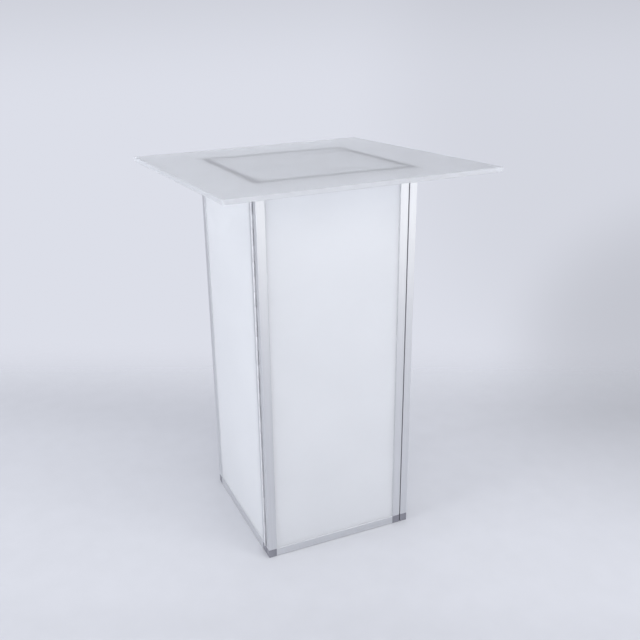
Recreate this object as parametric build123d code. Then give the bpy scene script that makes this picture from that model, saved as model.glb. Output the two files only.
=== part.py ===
from build123d import *
import os

# A bar-height table: a square column of four framed opal panels under a loose frosted sheet.
# Millimetres. The origin is on the floor under the middle of the column, +Z is up, and the
# front frame faces -Y.
#
# One frame is drawn at the front, with x from its left end, y from its outer face inwards
# and z up. The others are the same frame turned a quarter turn each, so that every frame's
# right end butts against the inner face of the next one.

# The whole table
column_width = 457.0
frame_height = 1080.0
tabletop_side = 760.0
tabletop_thickness = 12.7
tabletop_turn_deg = 2.2
tabletop_corner_radius = 2.0
tabletop_edge_chamfer = 0.8

# Tube of the stiles and rails
tube_face = 24.0
tube_depth = 22.0
tube_wall = 1.5
tube_edge_radius = 0.8
groove_setback = 1.5
groove_depth = 8.0

# Seam between two frames
corner_seam = 3.0

# Panel and its gasket
panel_thickness = 3.0
gasket_wall = 1.0
gasket_lip = 2.0
gasket_clearance = 0.1
gasket_joint_gap = 0.2
groove_floor_clearance = 0.5

# Corner connectors
foot_drop = 1.5
foot_inset = 0.8
spigot_length = 30.0
spigot_clearance = 0.15
spigot_chamfer = 2.0

# Hinges
pin_radius = 1.25
pin_clearance = 0.05
knuckle_wall = 1.2
knuckle_count = 25
knuckle_end_gap = 0.4
leaf_thickness = 1.2
leaf_width = 16.0
leaf_knuckle_clearance = 0.4
barrel_standoff = 2.4
hinge_end_margin = 3.0

# Blind rivets
rivet_count = 7
rivet_radius = 1.6
rivet_head_radius = 2.8
rivet_head_height = 0.9
rivet_clearance = 0.05
rivet_tail_radius = 2.4
rivet_tail_length = 2.5
rivet_end_margin = 30.0

# How far a cut runs past the solid that it cuts
overrun = 1.0

# Worked out from the sizes above
frame_width = column_width - tube_depth - corner_seam
groove_width = panel_thickness + 2 * (gasket_wall + gasket_clearance)
panel_front = groove_setback + gasket_clearance + gasket_wall
panel_edge_inset = tube_face - groove_depth + groove_floor_clearance + gasket_wall
web = tube_face - groove_depth - tube_wall
bottom_block_height = foot_drop + tube_face
stile_bottom = bottom_block_height
stile_top = frame_height - tube_face
rail_left = tube_face
rail_right = frame_width - tube_face
knuckle_radius = pin_radius + pin_clearance + knuckle_wall
leaf_start = knuckle_radius + leaf_knuckle_clearance
hinge_bottom = stile_bottom + hinge_end_margin
hinge_top = stile_top - hinge_end_margin
knuckle_pitch = (hinge_top - hinge_bottom) / knuckle_count

frame_names = ["front", "right", "rear", "left"]
# The seam at each frame's right end, and whether its hinge is outside the column
seam_names = ["front_right", "rear_right", "rear_left", "front_left"]
hinge_is_outside = [False, True, False, True]
quarter_turn = 90.0


def block(x0, x1, y0, y1, z0, z1):
    """A box between two corners."""
    return Pos((x0 + x1) / 2, (y0 + y1) / 2, (z0 + z1) / 2) * Box(x1 - x0, y1 - y0, z1 - z0)


def place(solid, index):
    """Move a piece from the frame's own coordinates to its place in the column."""
    at_front = Pos(-column_width / 2, -column_width / 2, 0) * solid
    return Rot(0, 0, quarter_turn * index) * at_front


def rivet_heights():
    """Heights of the rivets along a leaf."""
    low = hinge_bottom + rivet_end_margin
    high = hinge_top - rivet_end_margin
    step = (high - low) / (rivet_count - 1)
    return [low + step * i for i in range(rivet_count)]


def hinge_axis(outside):
    """Where a hinge's pin stands, in the coordinates of the frame whose right end it joins."""
    x = frame_width + corner_seam / 2
    y = -barrel_standoff if outside else tube_face + barrel_standoff
    return x, y


def rivet_row(outside):
    """Distance from a pin to its rivets: the middle of the strip where leaf and tube meet."""
    tube_start = barrel_standoff if outside else barrel_standoff + tube_face - tube_depth
    return (max(tube_start, leaf_start) + leaf_start + leaf_width) / 2


def rivet_offset(outside):
    """Distance of the rivets from the column's outer face, the same on both stiles."""
    axis_depth = hinge_axis(outside)[1]
    return axis_depth + rivet_row(outside) if outside else axis_depth - rivet_row(outside)


def tube_section():
    """Tube section: x across the face with the groove at its far side, y into the depth."""
    outer = RectangleRounded(tube_face, tube_depth, tube_edge_radius)
    outer = Pos(tube_face / 2, tube_depth / 2) * outer
    groove_y = groove_setback + groove_width / 2
    groove = Pos(tube_face - groove_depth / 2, groove_y) * Rectangle(groove_depth, groove_width)
    inner_size = (tube_face - 2 * tube_wall, tube_depth - 2 * tube_wall)
    chamber = Pos(tube_face / 2, tube_depth / 2) * Rectangle(*inner_size)
    # The wall round the groove has the thickness of the tube's own wall.
    keep_width = groove_depth + tube_wall
    keep_height = groove_width + 2 * tube_wall
    keep = Pos(tube_face - keep_width / 2, groove_y) * Rectangle(keep_width, keep_height)
    return outer - groove - (chamber - keep)


def upright(z0, z1):
    """A length of tube standing up, its groove facing +x."""
    return Pos(0, 0, z0) * extrude(tube_section(), z1 - z0)


def left_stile(seam_outside):
    """The stile at the column's corner, drilled through its inner face for the next leaf."""
    solid = upright(stile_bottom, stile_top)
    x = rivet_offset(seam_outside)
    for z in rivet_heights():
        hole = Rot(quarter_turn, 0, 0) * Cylinder(rivet_radius + rivet_clearance, 2 * tube_wall)
        solid -= Pos(x, tube_depth, z) * hole
    return solid


def right_stile(seam_outside):
    """The stile at the frame's right end, drilled through its end face for its own leaf."""
    solid = mirror(upright(stile_bottom, stile_top), about=Plane.YZ)
    solid = Pos(frame_width, 0, 0) * solid
    y = rivet_offset(seam_outside)
    for z in rivet_heights():
        hole = Rot(0, quarter_turn, 0) * Cylinder(rivet_radius + rivet_clearance, 2 * tube_wall)
        solid -= Pos(frame_width, y, z) * hole
    return solid


def rail(z_outer, groove_up):
    """A rail between two connectors. z_outer is the height of its outer side."""
    section = tube_section()
    # Section x becomes height and section y stays the depth.
    plane = Plane(origin=(rail_left, 0, z_outer), x_dir=(0, 0, 1), z_dir=(-1, 0, 0))
    if not groove_up:
        plane = Plane(origin=(rail_left, 0, z_outer), x_dir=(0, 0, -1), z_dir=(1, 0, 0))
    face = plane * section
    return extrude(face, rail_right - rail_left, dir=(1, 0, 0))


def corner_spigots(z_stile, z_way, z_rail_outer):
    """The two plugs of a connector: one into the stile, one into the rail."""
    low = tube_wall + spigot_clearance
    high = web - spigot_clearance
    near = tube_wall + spigot_clearance
    far = tube_depth - tube_wall - spigot_clearance
    z_end = z_stile + z_way * spigot_length
    stile_plug = block(low, high, near, far, min(z_stile, z_end), max(z_stile, z_end))
    tip = stile_plug.faces().sort_by(Axis.Z)[-1 if z_way > 0 else 0]
    stile_plug = chamfer(tip.edges(), spigot_chamfer)
    za = z_rail_outer + z_way * low
    zb = z_rail_outer + z_way * high
    rail_plug = block(rail_left, rail_left + spigot_length, near, far, min(za, zb), max(za, zb))
    rail_plug = chamfer(rail_plug.faces().sort_by(Axis.X)[-1].edges(), spigot_chamfer)
    return stile_plug, rail_plug


def left_connector(at_top):
    """Moulded corner piece at the frame's left, with a notch for the panel's corner."""
    z_way = -1 if at_top else 1
    z0 = stile_top if at_top else foot_drop
    z1 = frame_height if at_top else bottom_block_height
    z_stile = stile_top if at_top else stile_bottom
    z_rail_outer = frame_height if at_top else foot_drop
    body = block(0, tube_face, 0, tube_depth, z0, z1)
    body = fillet(body.edges().filter_by(Axis.Z), tube_edge_radius)
    if not at_top:
        foot_x = tube_face - foot_inset
        body += block(foot_inset, foot_x, foot_inset, tube_depth - foot_inset, 0, foot_drop)
    notch_x = tube_face - groove_depth
    notch_near = z_stile - z_way * groove_depth
    notch_far = z_stile + z_way * overrun
    body -= block(
        notch_x,
        tube_face + overrun,
        groove_setback,
        groove_setback + groove_width,
        min(notch_near, notch_far),
        max(notch_near, notch_far),
    )
    for plug in corner_spigots(z_stile, z_way, z_rail_outer):
        body += plug
    return body


def right_connector(at_top):
    """The left connector's mirror image, at the frame's right."""
    return Pos(frame_width, 0, 0) * mirror(left_connector(at_top), about=Plane.YZ)


def panel_limits():
    """Low and high x, then low and high z, of the panel."""
    x0 = panel_edge_inset
    z0 = foot_drop + panel_edge_inset
    return x0, frame_width - x0, z0, frame_height - panel_edge_inset


def panel():
    x0, x1, z0, z1 = panel_limits()
    return block(x0, x1, panel_front, panel_front + panel_thickness, z0, z1)


def gasket():
    """Four lengths of soft channel round the panel's edges, which all but meet at the corners."""
    x0, x1, z0, z1 = panel_limits()
    y0 = panel_front - gasket_wall
    y1 = panel_front + panel_thickness + gasket_wall
    # The lips show beyond the tube's inner edge.
    reach = groove_depth - groove_floor_clearance + gasket_lip
    ox0, ox1 = x0 - gasket_wall, x1 + gasket_wall
    oz0, oz1 = z0 - gasket_wall, z1 + gasket_wall
    between0 = ox0 + reach + gasket_joint_gap
    between1 = ox1 - reach - gasket_joint_gap
    strips = [
        block(ox0, ox0 + reach, y0, y1, oz0, oz1),
        block(ox1 - reach, ox1, y0, y1, oz0, oz1),
        block(between0, between1, y0, y1, oz0, oz0 + reach),
        block(between0, between1, y0, y1, oz1 - reach, oz1),
    ]
    return [strip - panel() for strip in strips]


def knuckle_span(index):
    """Low and high z of one knuckle."""
    low = hinge_bottom + knuckle_pitch * index
    return low + knuckle_end_gap / 2, low + knuckle_pitch - knuckle_end_gap / 2


def leaf(side, first_knuckle, outside):
    """One leaf, with the pin at the origin and the plate along +y.

    side is -1 for the leaf on the frame's end face and +1 for the one on the next frame.
    """
    outer = side * corner_seam / 2
    inner = side * (corner_seam / 2 - leaf_thickness)
    x0, x1 = min(outer, inner), max(outer, inner)
    solid = block(x0, x1, leaf_start, leaf_start + leaf_width, hinge_bottom, hinge_top)
    for index in range(first_knuckle, knuckle_count, 2):
        z0, z1 = knuckle_span(index)
        middle = Pos(0, 0, (z0 + z1) / 2)
        solid += block(x0, x1, 0, leaf_start, z0, z1)
        solid += middle * Cylinder(knuckle_radius, z1 - z0)
    bore = Cylinder(pin_radius + pin_clearance, hinge_top - hinge_bottom + 2 * overrun)
    solid -= Pos(0, 0, (hinge_bottom + hinge_top) / 2) * bore
    hole = headed_shank(side, rivet_clearance, leaf_thickness + overrun)
    for z in rivet_heights():
        solid -= Pos(outer, rivet_row(outside), z) * hole
    return solid


def headed_shank(side, extra, shank_length):
    """Countersunk head and shank of a rivet, or with extra the hole for them.

    The origin is on the stile's surface. The head fills the leaf from its open face, and the
    shank runs towards the side's far side.
    """
    head = Cone(rivet_head_radius + extra, rivet_radius + extra, rivet_head_height)
    head = Rot(0, side * quarter_turn, 0) * head
    head = Pos(-side * (leaf_thickness - rivet_head_height / 2), 0, 0) * head
    shank = Rot(0, quarter_turn, 0) * Cylinder(rivet_radius + extra, shank_length)
    shank = Pos(side * (shank_length / 2 - leaf_thickness), 0, 0) * shank
    return head + shank


def rivet(side):
    """A set blind rivet: head in the leaf, shank through the tube wall, tail behind it."""
    tail = Rot(0, quarter_turn, 0) * Cylinder(rivet_tail_radius, rivet_tail_length)
    tail = Pos(side * (tube_wall + rivet_tail_length / 2), 0, 0) * tail
    return headed_shank(side, 0, leaf_thickness + tube_wall) + tail


def at_seam(solid, outside):
    """Put a hinge piece at the seam of a frame's right end, turned in or out."""
    x, y = hinge_axis(outside)
    if not outside:
        solid = mirror(solid, about=Plane.XZ)
    return Pos(x, y, 0) * solid


def seam_rivets(side, outside):
    """The rivets of one leaf."""
    outer = side * corner_seam / 2
    row = rivet_row(outside)
    return [at_seam(Pos(outer, row, z) * rivet(side), outside) for z in rivet_heights()]


def pin():
    """The hinge's pin, standing on the origin."""
    rod = Cylinder(pin_radius, hinge_top - hinge_bottom)
    return Pos(0, 0, (hinge_bottom + hinge_top) / 2) * rod


def tabletop():
    sheet = extrude(
        RectangleRounded(tabletop_side, tabletop_side, tabletop_corner_radius),
        tabletop_thickness,
    )
    rims = sheet.faces().filter_by(Axis.Z).edges()
    sheet = chamfer(rims, tabletop_edge_chamfer)
    return Pos(0, 0, frame_height) * (Rot(0, 0, tabletop_turn_deg) * sheet)


def solids_of(shape):
    """The plain solids of a shape or of a list of shapes."""
    shapes = shape if isinstance(shape, list) else [shape]
    return [solid for item in shapes for solid in item.solids()]


def write(name, shape):
    """Write one node: a single solid, or a group of separate solids."""
    solids = solids_of(shape)
    node = solids[0] if len(solids) == 1 else Compound(children=solids)
    export_step(node, os.path.join("parts", name + ".step"))


os.makedirs("parts", exist_ok=True)

count = len(frame_names)
for k, name in enumerate(frame_names):
    left_outside = hinge_is_outside[(k - 1) % count]
    right_outside = hinge_is_outside[k]
    pieces = {
        "left_stile": left_stile(left_outside),
        "right_stile": right_stile(right_outside),
        "top_rail": rail(frame_height, False),
        "bottom_rail": rail(foot_drop, True),
        "panel": panel(),
        "top_left_connector": left_connector(True),
        "top_right_connector": right_connector(True),
        "bottom_left_connector": left_connector(False),
        "bottom_right_connector": right_connector(False),
    }
    for piece, solid in pieces.items():
        write(name + "_frame_" + piece, place(solid, k))
    write(name + "_frame_gasket", [place(strip, k) for strip in gasket()])

    # The leaves of a seam: one on this frame's right end, one on the next frame's inner face.
    seam = seam_names[k] + "_hinge_"
    for side, first, leaf_name in [(-1, 0, "end_leaf"), (1, 1, "face_leaf")]:
        solid = at_seam(leaf(side, first, right_outside), right_outside)
        write(seam + leaf_name, place(solid, k))
    write(seam + "pin", place(at_seam(pin(), right_outside), k))

    # This frame carries the rivets of its right end and of its left stile's inner face.
    rivets = [place(solid, k) for solid in seam_rivets(-1, right_outside)]
    previous = (k - 1) % count
    rivets += [place(solid, previous) for solid in seam_rivets(1, left_outside)]
    write(name + "_frame_hinge_rivets", rivets)

write("tabletop", tabletop())
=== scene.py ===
import math

import bmesh
import bpy
from mathutils import Matrix, Vector


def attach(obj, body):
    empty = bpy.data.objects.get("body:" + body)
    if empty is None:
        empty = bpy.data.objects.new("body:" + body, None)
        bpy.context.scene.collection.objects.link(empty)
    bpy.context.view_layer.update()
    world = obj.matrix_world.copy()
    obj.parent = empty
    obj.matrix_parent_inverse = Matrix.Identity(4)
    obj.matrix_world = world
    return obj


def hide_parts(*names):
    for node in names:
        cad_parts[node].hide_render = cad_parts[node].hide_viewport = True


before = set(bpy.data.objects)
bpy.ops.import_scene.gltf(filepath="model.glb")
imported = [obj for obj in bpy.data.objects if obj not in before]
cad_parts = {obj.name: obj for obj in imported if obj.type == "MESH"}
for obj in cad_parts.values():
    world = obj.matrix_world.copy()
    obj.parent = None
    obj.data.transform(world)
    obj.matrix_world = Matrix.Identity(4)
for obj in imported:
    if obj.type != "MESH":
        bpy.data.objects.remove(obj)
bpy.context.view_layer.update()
scene = bpy.context.scene

MILLIMETRE = 0.001

# Sizes in millimetres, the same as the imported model's
COLUMN_WIDTH = 457.0
FRAME_HEIGHT = 1080.0
TUBE_FACE = 24.0
TUBE_DEPTH = 22.0
TUBE_WALL = 1.5
GROOVE_SETBACK = 1.5
GROOVE_DEPTH = 8.0
GROOVE_FLOOR_CLEARANCE = 0.5
CORNER_SEAM = 3.0
FOOT_DROP = 1.5
PANEL_THICKNESS = 3.0
GASKET_WALL = 1.0
GASKET_LIP = 2.0
GASKET_CLEARANCE = 0.1
KNUCKLES = 25
KNUCKLE_GAP = 0.4
LEAF_THICKNESS = 1.2
LEAF_START, LEAF_WIDTH = 2.9, 16.0
BARREL_STANDOFF = 2.4
HINGE_END_MARGIN = 3.0
RIVETS = 7
RIVET_END_MARGIN = 30.0

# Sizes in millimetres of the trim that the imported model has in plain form, and the sides of a round hole
GASKET_MITRE_GAP = 0.02
GASKET_EDGE = 0.25
GASKET_MOUTH = 0.12
KNUCKLE_EDGE = 0.18
PLATE_EDGE = 0.15
HOLE_RADIUS = 1.65
SINK_RADIUS = 2.85
SINK_DEPTH = 0.9
HOLE_SEGMENTS = 28
CUTTER_MARGIN = 0.5
MERGE_DISTANCE = 0.002

# Degrees that a knuckle's curl goes round the pin, and where it meets the plate
CURL_SWEEP = 292
CURL_END = 23.4

# Worked out from the sizes above
FRAME_WIDTH = COLUMN_WIDTH - TUBE_DEPTH - CORNER_SEAM
PANEL_FRONT = GROOVE_SETBACK + GASKET_CLEARANCE + GASKET_WALL
PANEL_INSET = TUBE_FACE - GROOVE_DEPTH + GROOVE_FLOOR_CLEARANCE + GASKET_WALL
PANEL_BOTTOM, PANEL_TOP = FOOT_DROP + PANEL_INSET, FRAME_HEIGHT - PANEL_INSET
GASKET_WIDTH = FRAME_WIDTH - 2 * PANEL_INSET + 2 * GASKET_WALL
GASKET_HEIGHT = PANEL_TOP - PANEL_BOTTOM + 2 * GASKET_WALL
GASKET_REACH = GROOVE_DEPTH - GROOVE_FLOOR_CLEARANCE + GASKET_LIP
END_KNUCKLES, FACE_KNUCKLES = (KNUCKLES + 1) // 2, KNUCKLES // 2
HINGE_BOTTOM = FOOT_DROP + TUBE_FACE + HINGE_END_MARGIN
HINGE_TOP = FRAME_HEIGHT - TUBE_FACE - HINGE_END_MARGIN
HINGE_LENGTH = HINGE_TOP - HINGE_BOTTOM
HINGE_MIDDLE = (HINGE_BOTTOM + HINGE_TOP) / 2
KNUCKLE_PITCH = HINGE_LENGTH / KNUCKLES
RIVET_STEP = (HINGE_LENGTH - 2 * RIVET_END_MARGIN) / (RIVETS - 1)

SIDES = ("front", "right", "rear", "left")
# The seam at each frame's right end, and whether its hinge is outside the column
SEAMS = ("front_right", "rear_right", "rear_left", "front_left")
HINGE_OUTSIDE = (False, True, False, True)

# The floor's radius in metres, the level direction from the camera to the table, and the
# place in metres where the painted shade on the paper is deepest
FLOOR_RADIUS = 3.8
REARWARD = (0.437, 0.8995, 0)
PAINTED_SHADE_PLACE = (1.85, -0.15, 0)

# Colours of the light, of the backdrop, and of the painted shade and painted reflection patches in it
SKY_COLOUR = (0.880, 0.900, 0.995)
SKY_STRENGTH = 0.73
BACKDROP_COLOUR = (0.717, 0.736, 0.814)
PAINTED_REFLECTION_BRIGHT = (1.25, 1.225, 1.13)
BLACK = (0, 0, 0)
COOL = (0.95, 0.97, 1.0)
NEUTRAL = (0.985, 0.98, 0.97)

# The photograph's camera, fitted to the table's straight edges: pixels, metres and degrees,
# and the sensor in millimetres
PICTURE_SIDE_PIXELS = 640
FOCAL_LENGTH_PIXELS = 763.55
VIEW_AXIS_PIXELS = (274.33, 317.12)
CAMERA_PLACE = (-0.86393, -1.95630, 1.41798)
CAMERA_YAW, CAMERA_PITCH, CAMERA_ROLL = 21.35, 20.109, -1.87
SENSOR_WIDTH = 36.0


# Materials

class Nodes:
    """A material's node tree, with short calls for the nodes that the finishes share."""

    def __init__(self, name):
        self.material = bpy.data.materials.new(name)
        self.material.use_nodes = True
        self.tree = self.material.node_tree
        self.tree.nodes.clear()
        self.output = self.tree.nodes.new("ShaderNodeOutputMaterial")

    def add(self, kind, **settings):
        node = self.tree.nodes.new("ShaderNode" + kind)
        for key, value in settings.items():
            setattr(node, key, value)
        return node

    def link(self, source, target):
        self.tree.links.new(source, target)

    def put(self, value, socket):
        """Link an output to a socket, or set the socket to a plain value."""
        if isinstance(value, bpy.types.NodeSocket):
            self.link(value, socket)
        else:
            socket.default_value = value

    def math(self, operation, first, second=0.0):
        node = self.add("Math", operation=operation)
        self.put(first, node.inputs[0])
        self.put(second, node.inputs[1])
        return node.outputs[0]

    def coordinates(self, scale=(1, 1, 1)):
        """Object coordinates, stretched."""
        source = self.add("TexCoord")
        mapping = self.add("Mapping")
        mapping.inputs["Scale"].default_value = scale
        self.link(source.outputs["Object"], mapping.inputs["Vector"])
        return mapping.outputs["Vector"]

    def noise(self, vector, scale, detail=3.0, roughness=0.5):
        node = self.add("TexNoise")
        node.inputs["Scale"].default_value = scale
        node.inputs["Detail"].default_value = detail
        node.inputs["Roughness"].default_value = roughness
        self.link(vector, node.inputs["Vector"])
        return node.outputs["Fac"]

    def span(self, value, low, high, from_low=0.3, from_high=0.7):
        """A value mapped from one span to another."""
        node = self.add("MapRange")
        node.inputs["From Min"].default_value = from_low
        node.inputs["From Max"].default_value = from_high
        node.inputs["To Min"].default_value = low
        node.inputs["To Max"].default_value = high
        self.link(value, node.inputs["Value"])
        return node.outputs["Result"]

    def blend(self, value, first, second):
        """A colour between two colours."""
        node = self.add("Mix", data_type="RGBA")
        node.inputs["A"].default_value = (*first, 1)
        node.inputs["B"].default_value = (*second, 1)
        self.link(value, node.inputs["Factor"])
        return node.outputs["Result"]

    def mottled(self, pattern, first, second):
        """A colour that goes between two colours as a noise pattern does."""
        return self.blend(self.span(pattern, 0, 1), first, second)

    def bump(self, height, strength, distance, normal=None):
        node = self.add("Bump")
        node.inputs["Strength"].default_value = strength
        node.inputs["Distance"].default_value = distance
        self.link(height, node.inputs["Height"])
        if normal is not None:
            self.link(normal, node.inputs["Normal"])
        return node.outputs["Normal"]

    def shader(self, **values):
        """The main shader, with numbers or outputs on its own sockets."""
        node = self.add("BsdfPrincipled")
        for key, value in values.items():
            self.put(value, node.inputs[key.replace("_", " ")])
        return node

    def mixed(self, share, first, second):
        """Two shaders, the second with the given share."""
        node = self.add("MixShader")
        self.put(share, node.inputs["Fac"])
        self.link(first.outputs[0], node.inputs[1])
        self.link(second.outputs[0], node.inputs[2])
        return node

    def let_through(self, share, colour, surface):
        """A surface that scatters a share of the light through to its other side."""
        through = self.add("BsdfTranslucent")
        self.link(colour, through.inputs["Color"])
        return self.mixed(share, surface, through)

    def finish(self, shader):
        self.link(shader.outputs[0], self.output.inputs["Surface"])
        return self.material


def satin_aluminium(name, along):
    """Drawn aluminium, satin anodised: fine die lines along the bar and a faint cloudiness."""
    n = Nodes(name)
    fine = [900.0, 900.0, 900.0]
    fine[along] = 1.2
    broad = [160.0, 160.0, 160.0]
    broad[along] = 0.8
    lines = n.noise(n.coordinates(fine), scale=1.0, detail=4.0, roughness=0.6)
    bands = n.noise(n.coordinates(broad), scale=1.0, detail=2.0)
    cloud = n.noise(n.coordinates(), scale=18.0, detail=4.0)
    grain = n.noise(n.coordinates(), scale=2600.0, detail=2.0)
    scratched = n.bump(lines, strength=0.25, distance=0.00004)
    return n.finish(n.shader(
        Metallic=1.0,
        Base_Color=n.mottled(bands, (0.69, 0.697, 0.715), (0.73, 0.737, 0.755)),
        Roughness=n.math("ADD", n.span(cloud, 0.34, 0.40), n.span(lines, 0.0, 0.06)),
        Normal=n.bump(grain, strength=0.12, distance=0.00002, normal=scratched),
    ))


def hinge_metal():
    """Rolled hinge strip: duller than the frame, with marks across the leaf."""
    n = Nodes("hinge_metal_finish")
    marks = n.noise(n.coordinates((500, 500, 12)), scale=1.0)
    spots = n.noise(n.coordinates(), scale=90.0, detail=4.0)
    return n.finish(n.shader(
        Metallic=1.0,
        Base_Color=n.mottled(spots, (0.70, 0.705, 0.72), (0.74, 0.745, 0.76)),
        Roughness=n.span(marks, 0.66, 0.76),
        Normal=n.bump(marks, strength=0.2, distance=0.00003),
    ))


def steel_pin():
    """Ground steel wire."""
    n = Nodes("steel_pin_finish")
    rings = n.noise(n.coordinates((60, 60, 900)), scale=1.0)
    return n.finish(n.shader(
        Metallic=1.0,
        Base_Color=n.mottled(rings, (0.50, 0.50, 0.51), (0.60, 0.60, 0.61)),
        Roughness=n.span(rings, 0.22, 0.34),
    ))


def rivet_metal():
    """Bright soft aluminium with fine dull specks."""
    n = Nodes("rivet_metal_finish")
    specks = n.noise(n.coordinates(), scale=1400.0)
    return n.finish(n.shader(
        Metallic=1.0,
        Base_Color=n.mottled(specks, (0.66, 0.66, 0.67), (0.78, 0.78, 0.79)),
        Roughness=n.span(specks, 0.26, 0.44),
        Normal=n.bump(specks, strength=0.3, distance=0.00004),
    ))


def grey_plastic():
    """Moulded grey plastic with a fine spark-eroded texture."""
    n = Nodes("grey_plastic_finish")
    grain = n.noise(n.coordinates(), scale=2200.0, roughness=0.6)
    flow = n.noise(n.coordinates(), scale=45.0)
    return n.finish(n.shader(
        IOR=1.5,
        Specular_IOR_Level=0.3,
        Base_Color=n.mottled(flow, (0.195, 0.195, 0.223), (0.228, 0.230, 0.258)),
        Roughness=n.span(grain, 0.42, 0.58),
        Normal=n.bump(grain, strength=0.35, distance=0.00006),
    ))


def soft_gasket():
    """Clear soft vinyl, slightly milky, with a faintly uneven skin."""
    n = Nodes("soft_gasket_finish")
    milky = n.noise(n.coordinates(), scale=60.0)
    marks = n.noise(n.coordinates((700, 700, 700)), scale=1.0, detail=2.0)
    colour = n.mottled(milky, (0.70, 0.71, 0.73), (0.78, 0.79, 0.81))
    surface = n.shader(
        IOR=1.5,
        Base_Color=colour,
        Roughness=n.span(marks, 0.30, 0.46),
        Normal=n.bump(marks, strength=0.2, distance=0.00005),
    )
    return n.finish(n.let_through(0.35, colour, surface))


def opal_acrylic():
    """White translucent sheet: light scatters back and a part of it goes through."""
    n = Nodes("opal_acrylic_finish")
    cloud = n.noise(n.coordinates(), scale=5.0, detail=4.0)
    ripple = n.noise(n.coordinates(), scale=9.0, detail=2.0)
    colour = n.mottled(cloud, (0.895, 0.902, 0.913), (0.915, 0.922, 0.932))
    surface = n.shader(
        IOR=1.49,
        Roughness=0.16,
        Base_Color=colour,
        Normal=n.bump(ripple, strength=0.06, distance=0.0006),
    )
    return n.finish(n.let_through(0.55, colour, surface))


def frosted_acrylic():
    """Satin acrylic: matt faces that blur what lies under them, and smoother sawn edges."""
    n = Nodes("frosted_acrylic_finish")
    grain = n.noise(n.coordinates(), scale=1600.0, roughness=0.6)
    cloud = n.noise(n.coordinates(), scale=7.0, detail=4.0)
    facing = n.add("SeparateXYZ")
    n.link(n.add("TexCoord").outputs["Normal"], facing.inputs[0])
    level = n.math("ABSOLUTE", facing.outputs["Z"])
    # On the upright edges the sheet is smoother, and its colour is lighter as painted light, for the light
    # the sheet carries out through its edges.
    edge = n.span(level, 1, 0, from_low=0.3, from_high=0.9)
    rough = n.add("Mix", data_type="FLOAT")
    n.link(edge, rough.inputs["Factor"])
    n.link(n.span(cloud, 0.60, 0.66), rough.inputs["A"])
    rough.inputs["B"].default_value = 0.38
    sheet = n.shader(
        IOR=1.49,
        Transmission_Weight=0.62,
        Base_Color=n.blend(edge, (0.578, 0.586, 0.601), (0.71, 0.72, 0.74)),
        Roughness=rough.outputs["Result"],
        Normal=n.bump(grain, strength=0.03, distance=0.00003),
    )
    # Lamps shine into the column as through a plain tinted sheet.
    tint = n.add("BsdfTransparent")
    tint.inputs["Color"].default_value = (0.80, 0.81, 0.83, 1)
    path = n.add("LightPath")
    return n.finish(n.mixed(path.outputs["Is Shadow Ray"], sheet, tint))


along_x = satin_aluminium("satin_aluminium_along_x", 0)
along_y = satin_aluminium("satin_aluminium_along_y", 1)
upright = satin_aluminium("satin_aluminium_upright", 2)
finishes = {
    "hinge_end_leaf": hinge_metal(),
    "hinge_pin": steel_pin(),
    "hinge_rivets": rivet_metal(),
    "connector": grey_plastic(),
    "gasket": soft_gasket(),
    "panel": opal_acrylic(),
    "tabletop": frosted_acrylic(),
}
finishes["hinge_face_leaf"] = finishes["hinge_end_leaf"]


def finish_of(node):
    """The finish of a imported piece, from its name."""
    if node.endswith("_stile"):
        return upright
    if node.endswith("_rail"):
        return along_x if node.startswith(("front", "rear")) else along_y
    return next(finish for ending, finish in finishes.items() if node.endswith(ending))


for name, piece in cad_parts.items():
    piece.data.materials.clear()
    piece.data.materials.append(finish_of(name))


# Shapes made with Geometry Nodes

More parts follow.
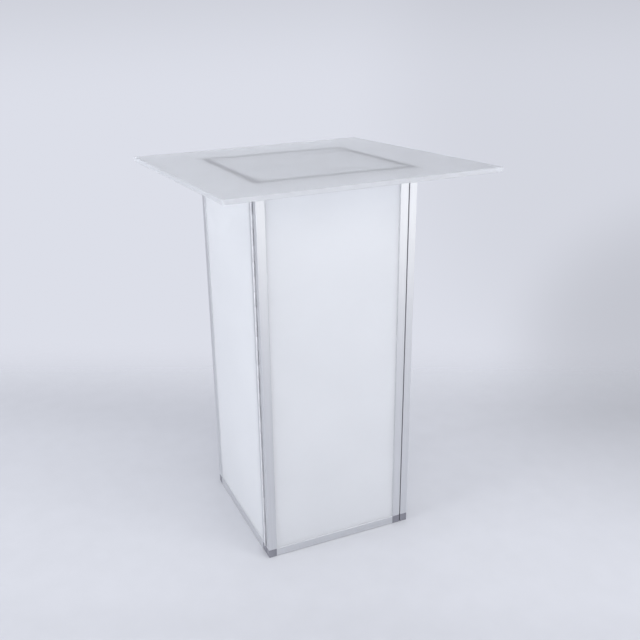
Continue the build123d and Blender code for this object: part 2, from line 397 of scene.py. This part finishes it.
class Shape:
    """A Geometry Nodes tree whose sizes are named inputs, in millimetres."""

    def __init__(self, name, finish, **sizes):
        self.tree = bpy.data.node_groups.new(name, "GeometryNodeTree")
        self.finish = finish
        self.identifiers = {}
        new_socket = self.tree.interface.new_socket
        new_socket("Geometry", in_out="OUTPUT", socket_type="NodeSocketGeometry")
        for label, value in sizes.items():
            kind = "NodeSocketInt" if isinstance(value, int) else "NodeSocketFloat"
            socket = new_socket(label, in_out="INPUT", socket_type=kind)
            socket.default_value = value
            self.identifiers[label] = socket.identifier
        self.given = self.tree.nodes.new("NodeGroupInput")

    def put(self, socket, wire):
        """Wire a socket to an output, to a size by its name, or set it to a plain value."""
        if isinstance(wire, str):
            wire = self.given.outputs[wire]
        if isinstance(wire, bpy.types.NodeSocket):
            self.tree.links.new(wire, socket)
        else:
            socket.default_value = wire

    def add(self, kind, wires=None, **settings):
        node = self.tree.nodes.new(kind)
        for key, value in settings.items():
            setattr(node, key, value)
        for key, wire in (wires or {}).items():
            self.put(node.inputs[key], wire)
        return node

    def geometry(self, kind, wires=None, **settings):
        """The first output of a geometry node."""
        return self.add("GeometryNode" + kind, wires, **settings).outputs[0]

    def math(self, operation, *wires):
        return self.add("ShaderNodeMath", dict(enumerate(wires)), operation=operation).outputs[0]

    def total(self, *wires):
        """The sum of sizes and numbers."""
        result = wires[0]
        for wire in wires[1:]:
            result = self.math("ADD", result, wire)
        return result

    def vector(self, x, y, z):
        return self.add("ShaderNodeCombineXYZ", {"X": x, "Y": y, "Z": z}).outputs[0]

    def pick(self, place, values):
        """The value at a place in a list."""
        node = self.add("GeometryNodeIndexSwitch", data_type="FLOAT")
        while len(node.index_switch_items) < len(values):
            node.index_switch_items.new()
        self.put(node.inputs["Index"], place)
        for number, value in enumerate(values):
            self.put(node.inputs[number + 1], value)
        return node.outputs[0]

    def merged(self, geometry):
        return self.geometry("MergeByDistance", {"Geometry": geometry, "Distance": MERGE_DISTANCE})

    def skin(self, rows, columns, placed):
        """A grid wrapped round: placed gives a point's position from its row and column."""
        last_column = self.total(columns, 1)
        grid = self.geometry("MeshGrid", {"Vertices X": rows, "Vertices Y": last_column})
        index = self.geometry("InputIndex")
        row = self.math("FLOOR", self.math("DIVIDE", self.math("ADD", index, 0.5), last_column))
        column = self.math("FLOORED_MODULO", index, last_column)
        return self.merged(self.geometry("SetPosition", {
            "Geometry": grid,
            "Position": placed(row, column),
        }))

    def turned(self, profile, segments):
        """A turned shape about X from a list of (distance along X, radius)."""
        def placed(row, column):
            angle = self.math("MULTIPLY", column, self.math("DIVIDE", math.tau, segments))
            along = self.pick(row, [a for a, r in profile])
            radius = self.pick(row, [r for a, r in profile])
            y = self.math("MULTIPLY", radius, self.math("COSINE", angle))
            z = self.math("MULTIPLY", radius, self.math("SINE", angle))
            return self.vector(along, y, z)
        return self.skin(len(profile), segments, placed)

    def column_of(self, piece, count, step, y=0):
        """Copies of a piece, one above the other, evenly above and below the middle."""
        steps = self.math("SUBTRACT", count, 1)
        lowest = self.math("MULTIPLY", steps, self.math("MULTIPLY", step, -0.5))
        line = self.geometry("MeshLine", {
            "Count": count,
            "Start Location": self.vector(0, y, lowest),
            "Offset": self.vector(0, 0, step),
        }, mode="OFFSET")
        copies = self.geometry("InstanceOnPoints", {"Points": line, "Instance": piece})
        return self.geometry("RealizeInstances", {"Geometry": copies})

    def rounded_strip(self, width, height, radius):
        """The outline of a flat strip with rounded corners."""
        strip = self.geometry("CurvePrimitiveQuadrilateral", {"Width": width, "Height": height})
        return self.geometry("FilletCurve", {"Curve": strip, "Radius": radius, "Count": 2}, mode="POLY")

    def joined(self, *parts):
        node = self.add("GeometryNodeJoinGeometry")
        for part in parts:
            self.tree.links.new(part, node.inputs[0])
        return node.outputs[0]

    def end(self, result):
        """Close the tree: real faces with their finish."""
        real = self.geometry("RealizeInstances", {"Geometry": result})
        painted = self.geometry("SetMaterial", {"Geometry": real, "Material": self.finish})
        output = self.tree.nodes.new("NodeGroupOutput")
        self.tree.links.new(painted, output.inputs[0])
        return self

    def mesh(self, name, **sizes):
        """The plain mesh that the tree makes with these sizes."""
        thing = bpy.data.objects.new(name, bpy.data.meshes.new(name + "_start"))
        scene.collection.objects.link(thing)
        modifier = thing.modifiers.new("shape", "NODES")
        modifier.node_group = self.tree
        for label, value in sizes.items():
            modifier[self.identifiers[label]] = value
        evaluated = thing.evaluated_get(bpy.context.evaluated_depsgraph_get())
        mesh = bpy.data.meshes.new_from_object(evaluated)
        mesh.materials.clear()
        mesh.materials.append(self.finish)
        thing.modifiers.remove(modifier)
        bpy.data.objects.remove(thing)
        return mesh


def on_frame(index):
    """From a frame's own millimetres to its place in the column, in metres."""
    corner = Matrix.Translation((-COLUMN_WIDTH / 2, -COLUMN_WIDTH / 2, 0))
    return Matrix.Scale(MILLIMETRE, 4) @ Matrix.Rotation(math.radians(90 * index), 4, "Z") @ corner


def at_seam(side, outside):
    """From a leaf's own place, pin on Z and plate along +Y, to a seam in frame coordinates."""
    y = -BARREL_STANDOFF if outside else TUBE_FACE + BARREL_STANDOFF
    across = 1 if outside else -1
    turn = Matrix.Diagonal((side, across, side * across, 1))
    return Matrix.Translation((FRAME_WIDTH + CORNER_SEAM / 2, y, HINGE_MIDDLE)) @ turn


def add_piece(name, meshes, body, node):
    """One object from meshes already in place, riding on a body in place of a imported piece."""
    shape = bmesh.new()
    for mesh in meshes:
        shape.from_mesh(mesh)
    bmesh.ops.recalc_face_normals(shape, faces=shape.faces)
    whole = bpy.data.meshes.new(name)
    shape.to_mesh(whole)
    shape.free()
    whole.materials.append(meshes[0].materials[0])
    thing = bpy.data.objects.new(name, whole)
    scene.collection.objects.link(thing)
    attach(thing, body)
    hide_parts(node)


def gasket_shape():
    """Glazing channel: a U section with rounded lips, carried round the panel and mitred."""
    s = Shape(
        "glazing_gasket", finishes["gasket"],
        Width=GASKET_WIDTH, Height=GASKET_HEIGHT, Reach=GASKET_REACH, Wall=GASKET_WALL,
        Depth=PANEL_THICKNESS + 2 * GASKET_WALL, Gap=GASKET_MITRE_GAP,
    )
    # The rounding of a lip: distances from the channel's reach and from its outer side
    lip = [(-1.9, 0.0), (-1.0, 0.10), (-0.40, 0.34), (-0.06, 0.66), (0.0, 0.86)]
    inside = s.math("SUBTRACT", "Wall", "Gap")
    back = s.math("SUBTRACT", "Depth", inside)
    mouth = s.total("Reach", -GASKET_MOUTH)
    start = (GASKET_EDGE, 0.0)
    near_lip = [(s.total("Reach", u), v) for u, v in lip]
    channel = [(mouth, inside), (inside, inside), (inside, back), (mouth, back)]
    far_lip = [(s.total("Reach", u), s.math("SUBTRACT", "Depth", v)) for u, v in reversed(lip)]
    far_edge = [(GASKET_EDGE, "Depth"), (0.0, s.math("SUBTRACT", "Depth", GASKET_EDGE))]
    section = [start, *near_lip, *channel, *far_lip, *far_edge, (0.0, GASKET_EDGE), start]

    def corner_place(size, corner, signs, inset):
        half = s.math("SUBTRACT", s.math("MULTIPLY", size, 0.5), inset)
        return s.math("MULTIPLY", s.pick(corner, signs), half)

    def placed(row, column):
        inset = s.pick(row, [u for u, v in section])
        depth = s.pick(row, [v for u, v in section])
        corner = s.math("FLOORED_MODULO", column, 4)
        x = corner_place("Width", corner, [-1.0, 1.0, 1.0, -1.0], inset)
        z = corner_place("Height", corner, [-1.0, -1.0, 1.0, 1.0], inset)
        return s.vector(x, depth, z)

    return s.end(s.skin(len(section), 4, placed))


def rivet_shape():
    """A column of set blind rivets along X.

    Each has a dished head with the broken stem in its recess, a shank and a bulged tail.
    """
    s = Shape(
        "blind_rivets", finishes["hinge_rivets"],
        Count=RIVETS, Step=RIVET_STEP, Leaf=LEAF_THICKNESS, Wall=TUBE_WALL, Head_radius=2.8,
        Head_height=0.9, Shank_radius=1.6, Tail_radius=2.4, Tail_length=2.5, Recess_radius=0.86,
        Segments=24,
    )
    face = s.math("MULTIPLY", "Leaf", -1.0)

    def sunk(depth, radius, change=0.0):
        """A point below the head's top, at a radius and a change to it."""
        return s.total(face, depth), s.total(radius, change) if change else radius

    def tail(along, across):
        """A point behind the tube's wall, in shares of the tail's length and radius."""
        place = s.total("Wall", s.math("MULTIPLY", "Tail_length", along))
        return place, s.math("MULTIPLY", "Tail_radius", across)

    stem = [sunk(0.46, 0.0), sunk(0.47, 0.36), sunk(0.53, 0.56), sunk(0.62, 0.62), sunk(0.80, 0.63)]
    recess = [
        sunk(0.80, "Recess_radius", -0.04), sunk(0.20, "Recess_radius"),
        sunk(0.08, "Recess_radius", 0.06), sunk(0.035, "Recess_radius", 0.24),
    ]
    head = [
        sunk(0.01, "Head_radius", -0.9), sunk(0.0, "Head_radius", -0.34),
        sunk(0.02, "Head_radius", -0.12), sunk(0.07, "Head_radius", -0.095),
    ]
    shank = [(s.total(face, "Head_height"), "Shank_radius"), ("Wall", "Shank_radius")]
    bulge = [
        tail(0.03, 0.84), tail(0.14, 0.95), tail(0.32, 1.0), tail(0.55, 0.97), tail(0.74, 0.84),
        tail(0.82, 0.58), tail(0.90, 0.55), tail(0.97, 0.45), tail(1.0, 0.25),
    ]
    end = [(s.total("Wall", "Tail_length"), 0.0)]
    rivet = s.turned(stem + recess + head + shank + bulge + end, "Segments")
    return s.end(s.column_of(rivet, "Count", "Step"))


def rivet_row(outside):
    """Distance from a pin to its rivets."""
    tube_start = BARREL_STANDOFF if outside else BARREL_STANDOFF + TUBE_FACE - TUBE_DEPTH
    return (max(tube_start, LEAF_START) + LEAF_START + LEAF_WIDTH) / 2


def leaf_knuckles(s, middle):
    """The knuckles of a leaf: strips that curl round the pin and joggle up to the plate."""
    sweep = math.radians(CURL_SWEEP)
    start = math.radians(CURL_END) - sweep
    index = s.geometry("InputIndex")
    curled = s.math("DIVIDE", index, s.math("SUBTRACT", "Curl_steps", 1))
    angle = s.total(start, s.math("MULTIPLY", curled, sweep))
    on_curl = s.vector(
        s.math("MULTIPLY", "Curl_radius", s.math("COSINE", angle)),
        s.math("MULTIPLY", "Curl_radius", s.math("SINE", angle)),
        0,
    )
    # Past the curl, distances from the plate's middle and from its start
    joggle = [(0.10, -0.42), (0.035, -0.28), (0.0, -0.1), (0.0, 0.1), (0.0, 0.8)]
    beyond = s.math("SUBTRACT", index, "Curl_steps")
    on_plate = s.vector(
        s.pick(beyond, [s.total(middle, across) for across, up in joggle]),
        s.pick(beyond, [s.total("Plate_start", up) for across, up in joggle]),
        0,
    )
    past = s.add(
        "FunctionNodeCompare", {0: index, 1: s.total("Curl_steps", -0.5)},
        data_type="FLOAT", operation="GREATER_THAN",
    )
    place = s.geometry(
        "Switch", {"Switch": past.outputs[0], "False": on_curl, "True": on_plate},
        input_type="VECTOR",
    )
    line = s.geometry("MeshLine", {"Count": s.total("Curl_steps", len(joggle))})
    bent = s.geometry("SetPosition", {"Geometry": line, "Position": place})
    path = s.geometry("MeshToCurve", {"Mesh": bent})
    knuckle = s.geometry("CurveToMesh", {
        "Curve": s.geometry("SetCurveNormal", {"Curve": path}, mode="Z_UP"),
        "Profile Curve": s.rounded_strip("Thickness", "Knuckle_length", KNUCKLE_EDGE),
        "Fill Caps": True,
    })
    return s.column_of(knuckle, "Knuckles", "Pitch")


def leaf_plate(s, middle):
    """The plate of a leaf, with its long edges eased and its holes countersunk."""
    outline = s.rounded_strip("Thickness", "Plate_width", PLATE_EDGE)
    flat = s.geometry("FillCurve", {"Curve": outline}, mode="NGONS")
    tall = s.geometry("ExtrudeMesh", {
        "Mesh": flat,
        "Offset Scale": "Plate_height",
        "Individual": False,
    })
    bottom = s.geometry("FlipFaces", {"Mesh": flat})
    plate_y = s.total("Plate_start", s.math("MULTIPLY", "Plate_width", 0.5))
    plate = s.geometry("Transform", {
        "Geometry": s.merged(s.joined(tall, bottom)),
        "Translation": s.vector(middle, plate_y, s.math("MULTIPLY", "Plate_height", -0.5)),
    })

    outer_face, cone_end = -LEAF_THICKNESS, SINK_DEPTH - LEAF_THICKNESS
    cutter = s.turned([
        (s.total("Plate_face", x), radius) for x, radius in (
            (outer_face - CUTTER_MARGIN, 0.0),
            (outer_face - CUTTER_MARGIN, SINK_RADIUS),
            (outer_face, SINK_RADIUS),
            (cone_end, HOLE_RADIUS),
            (CUTTER_MARGIN, HOLE_RADIUS),
            (CUTTER_MARGIN, 0.0),
        )
    ], HOLE_SEGMENTS)
    cutters = s.column_of(cutter, "Rivet_count", "Rivet_step", "Rivet_row")
    return s.geometry(
        "MeshBoolean", {"Mesh 1": plate, "Mesh 2": cutters},
        operation="DIFFERENCE", solver="EXACT",
    )


def leaf_shape():
    """A rolled hinge leaf: a plate with countersunk holes, and its knuckles round the pin."""
    s = Shape(
        "rolled_hinge_leaf", finishes["hinge_end_leaf"],
        Knuckles=END_KNUCKLES, Knuckle_length=KNUCKLE_PITCH - KNUCKLE_GAP, Pitch=2 * KNUCKLE_PITCH,
        Thickness=LEAF_THICKNESS, Plate_start=LEAF_START, Plate_width=LEAF_WIDTH,
        Plate_height=HINGE_LENGTH, Plate_face=CORNER_SEAM / 2, Curl_radius=1.9, Curl_steps=30,
        Rivet_count=RIVETS, Rivet_step=RIVET_STEP, Rivet_row=rivet_row(outside=True),
    )
    middle = s.math("SUBTRACT", "Plate_face", s.math("MULTIPLY", "Thickness", 0.5))
    return s.end(s.joined(leaf_plate(s, middle), leaf_knuckles(s, middle)))


def placed_mesh(mesh, *moves):
    """The mesh carried through moves, the last first."""
    whole = Matrix.Identity(4)
    for move in moves:
        whole = whole @ move
    mesh.transform(whole)
    return mesh


def rivets_at(shape, name, seam_index, side):
    """The rivets of one leaf."""
    outside = HINGE_OUTSIDE[seam_index]
    start = Matrix.Translation((CORNER_SEAM / 2, rivet_row(outside), 0))
    return placed_mesh(shape.mesh(name), on_frame(seam_index), at_seam(side, outside), start)


def frame_details():
    """Gaskets, rivets and rolled leaves of all four frames."""
    gasket, rivets, leaves = gasket_shape(), rivet_shape(), leaf_shape()
    panel_middle = (PANEL_BOTTOM + PANEL_TOP) / 2
    centre = Matrix.Translation((FRAME_WIDTH / 2, PANEL_FRONT - GASKET_WALL, panel_middle))
    for k, side_name in enumerate(SIDES):
        body = side_name + "_frame"
        channel = placed_mesh(gasket.mesh(body + "_channel"), on_frame(k), centre)
        add_piece(body + "_channel_gasket", [channel], body, body + "_gasket")

        own = rivets_at(rivets, body + "_own", k, -1)
        previous = rivets_at(rivets, body + "_previous", (k - 1) % 4, 1)
        add_piece(body + "_set_rivets", [own, previous], body, body + "_hinge_rivets")

        outside = HINGE_OUTSIDE[k]
        next_body = SIDES[(k + 1) % 4] + "_frame"
        for side, kind, count, owner in (
            (-1, "end", END_KNUCKLES, body),
            (1, "face", FACE_KNUCKLES, next_body),
        ):
            name = SEAMS[k] + "_rolled_" + kind + "_leaf"
            mesh = leaves.mesh(name, Knuckles=count, Rivet_row=rivet_row(outside))
            placed_mesh(mesh, on_frame(k), at_seam(side, outside))
            add_piece(name, [mesh], owner, SEAMS[k] + "_hinge_" + kind + "_leaf")


frame_details()


# Stage

def floor_finish():
    """Pale paper that runs out softly into the backdrop away from the table."""
    n = Nodes("floor_paper")
    fibre = n.noise(n.coordinates(), scale=14.0, detail=4.0)
    paper = n.mottled(fibre, (0.594, 0.601, 0.625), (0.608, 0.615, 0.640))
    place = n.add("TexCoord").outputs["Object"]

    def measured(operation, output, other=None):
        """A distance over the floor, in metres."""
        node = n.add("VectorMath", operation=operation)
        n.link(place, node.inputs[0])
        if other is not None:
            node.inputs[1].default_value = other
        return node.outputs[output]

    def between(distance, near, far, most=1.0):
        """From nothing at the near distance to the most at the far one."""
        rise = n.add("MapRange", interpolation_type="SMOOTHERSTEP")
        rise.inputs["From Min"].default_value = near
        rise.inputs["From Max"].default_value = far
        rise.inputs["To Max"].default_value = most
        n.link(distance, rise.inputs["Value"])
        return rise.outputs["Result"]

    rearward = measured("DOT_PRODUCT", "Value", REARWARD)
    from_painted_shade_place = measured("DISTANCE", "Value", PAINTED_SHADE_PLACE)
    outward = measured("LENGTH", "Value")

    # Painted shade: the paper is made darker in a band behind the table, in a band near the front and
    # round a place at the right.
    painted_shade_behind = between(rearward, near=0.25, far=0.70, most=0.045)
    fore = between(rearward, near=-0.42, far=-0.62, most=0.045)
    painted_shade_right = between(from_painted_shade_place, near=1.45, far=0.25, most=0.20)
    darker = n.add("Mix", data_type="RGBA")
    darker.inputs["B"].default_value = (*BLACK, 1)
    n.link(paper, darker.inputs["A"])
    n.link(n.math("ADD", n.math("ADD", painted_shade_behind, fore), painted_shade_right), darker.inputs["Factor"])
    surface = n.shader(Roughness=0.9, Specular_IOR_Level=0.1, Base_Color=darker.outputs["Result"])

    behind = between(rearward, near=0.50, far=1.44)
    around = between(outward, near=2.2, far=3.4)
    open_air = n.add("BsdfTransparent")
    return n.finish(n.mixed(n.math("MAXIMUM", behind, around), surface, open_air))


def floor():
    """A round pale floor."""
    mesh = bpy.data.meshes.new("floor")
    shape = bmesh.new()
    bmesh.ops.create_circle(shape, cap_ends=True, segments=96, radius=FLOOR_RADIUS)
    shape.to_mesh(mesh)
    shape.free()
    thing = bpy.data.objects.new("floor", mesh)
    scene.collection.objects.link(thing)
    mesh.materials.append(floor_finish())


floor()


# Light

def world_light():
    """An even cool sky for light, and a pale backdrop with painted shade and painted reflections for what
    the camera and gloss see.
    """
    world = bpy.data.worlds.new("studio")
    scene.world = world
    world.use_nodes = True
    tree = world.node_tree
    tree.nodes.clear()
    link = tree.links.new

    def add(kind, **settings):
        node = tree.nodes.new("ShaderNode" + kind)
        for key, value in settings.items():
            setattr(node, key, value)
        return node

    toward = add("TexCoord").outputs["Generated"]

    def shade(before, direction, near, far, share, colour=BLACK):
        """Bring the backdrop nearer to a colour round a direction, fading out between two angles."""
        dot = add("VectorMath", operation="DOT_PRODUCT")
        dot.inputs[1].default_value = Vector(direction).normalized()
        link(toward, dot.inputs[0])
        fall = add("MapRange", interpolation_type="SMOOTHERSTEP")
        fall.inputs["From Min"].default_value = math.cos(math.radians(far))
        fall.inputs["From Max"].default_value = math.cos(math.radians(near))
        fall.inputs["To Max"].default_value = share
        link(dot.outputs["Value"], fall.inputs["Value"])
        mix = add("Mix", data_type="RGBA")
        mix.inputs["B"].default_value = (*colour, 1)
        link(fall.outputs["Result"], mix.inputs["Factor"])
        link(before, mix.inputs["A"])
        return mix.outputs["Result"]

    backdrop = add("RGB").outputs[0]
    backdrop.default_value = (*BACKDROP_COLOUR, 1)
    # Painted shade: the backdrop is darker at the far right, most of all low down, and above the horizon.
    backdrop = shade(backdrop, (0.80, 0.60, -0.05), near=14, far=28, share=0.08)
    backdrop = shade(backdrop, (0.734, 0.568, -0.373), near=0, far=14, share=0.17)
    backdrop = shade(backdrop, (0, 0, 1), near=82, far=95, share=0.17)
    # Painted reflections: a darker patch for the left faces to mirror, and a brighter one for the front
    # faces.
    backdrop = shade(backdrop, (-0.45, 0.85, -0.25), near=4, far=28, share=0.25)
    backdrop = shade(backdrop, (0.42, -0.88, -0.24), near=6, far=32, share=0.38, colour=PAINTED_REFLECTION_BRIGHT)

    light = add("Background")
    light.inputs["Color"].default_value = (*SKY_COLOUR, 1)
    light.inputs["Strength"].default_value = SKY_STRENGTH
    seen = add("Background")
    link(backdrop, seen.inputs["Color"])
    path = add("LightPath")
    seen_by = path.outputs["Is Camera Ray"]
    for ray in ("Is Glossy Ray", "Is Transmission Ray"):
        either = add("Math", operation="MAXIMUM")
        link(seen_by, either.inputs[0])
        link(path.outputs[ray], either.inputs[1])
        seen_by = either.outputs[0]
    mix = add("MixShader")
    link(seen_by, mix.inputs["Fac"])
    link(light.outputs[0], mix.inputs[1])
    link(seen.outputs[0], mix.inputs[2])
    link(mix.outputs[0], add("OutputWorld").inputs["Surface"])


def softbox(name, direction_deg, distance, width, low, high, radiance, colour=COOL):
    """An upright lamp facing the table. direction_deg is measured from the front to the right."""
    azimuth = math.radians(direction_deg)
    away = Vector((math.sin(azimuth), -math.cos(azimuth), 0))
    middle = away * distance + Vector((0, 0, (low + high) / 2))
    turn = away.to_track_quat("Z", "Y").to_matrix().to_4x4()
    lamp = bpy.data.lights.new(name, "AREA")
    lamp.shape = "RECTANGLE"
    lamp.size = width
    lamp.size_y = high - low
    lamp.energy = radiance * math.pi * width * (high - low)
    lamp.color = colour
    thing = bpy.data.objects.new(name, lamp)
    thing.matrix_world = Matrix.Translation(middle) @ turn
    scene.collection.objects.link(thing)


world_light()
softbox("lamp_high_right", 37, distance=4.0, width=1.8, low=2.6, high=4.8, radiance=4.5, colour=NEUTRAL)
softbox("lamp_high_front", -10, distance=4.6, width=6.0, low=2.3, high=5.4, radiance=2.3, colour=NEUTRAL)
softbox("lamp_low_front", 27, distance=3.0, width=2.4, low=0.1, high=2.6, radiance=0.58)
softbox("lamp_left", -88, distance=5.0, width=2.4, low=0.3, high=3.0, radiance=7.9)
softbox("lamp_right", 84, distance=4.6, width=3.4, low=0.1, high=2.4, radiance=1.6)
softbox("lamp_behind", 165, distance=3.2, width=3.0, low=2.0, high=3.6, radiance=1.6)


# Camera

def camera():
    """The photograph's view: from 21 degrees left of the front, looking 20 degrees down."""
    yaw, pitch, roll = (math.radians(angle) for angle in (CAMERA_YAW, CAMERA_PITCH, CAMERA_ROLL))
    ahead = Vector((
        math.sin(yaw) * math.cos(pitch),
        math.cos(yaw) * math.cos(pitch),
        -math.sin(pitch),
    ))
    level = Vector((math.cos(yaw), -math.sin(yaw), 0))
    above = level.cross(ahead)
    right = level * math.cos(roll) + above * math.sin(roll)
    up = above * math.cos(roll) - level * math.sin(roll)
    turn = Matrix((right, up, -ahead)).transposed().to_4x4()
    lens = bpy.data.cameras.new("camera")
    lens.sensor_width = SENSOR_WIDTH
    lens.lens = FOCAL_LENGTH_PIXELS * SENSOR_WIDTH / PICTURE_SIDE_PIXELS
    lens.shift_x = (PICTURE_SIDE_PIXELS / 2 - VIEW_AXIS_PIXELS[0]) / PICTURE_SIDE_PIXELS
    lens.shift_y = (VIEW_AXIS_PIXELS[1] - PICTURE_SIDE_PIXELS / 2) / PICTURE_SIDE_PIXELS
    lens.clip_start = 0.05
    lens.clip_end = 200
    eye = bpy.data.objects.new("camera", lens)
    eye.matrix_world = Matrix.Translation(CAMERA_PLACE) @ turn
    scene.collection.objects.link(eye)
    scene.camera = eye


camera()
scene.view_settings.view_transform = "Standard"
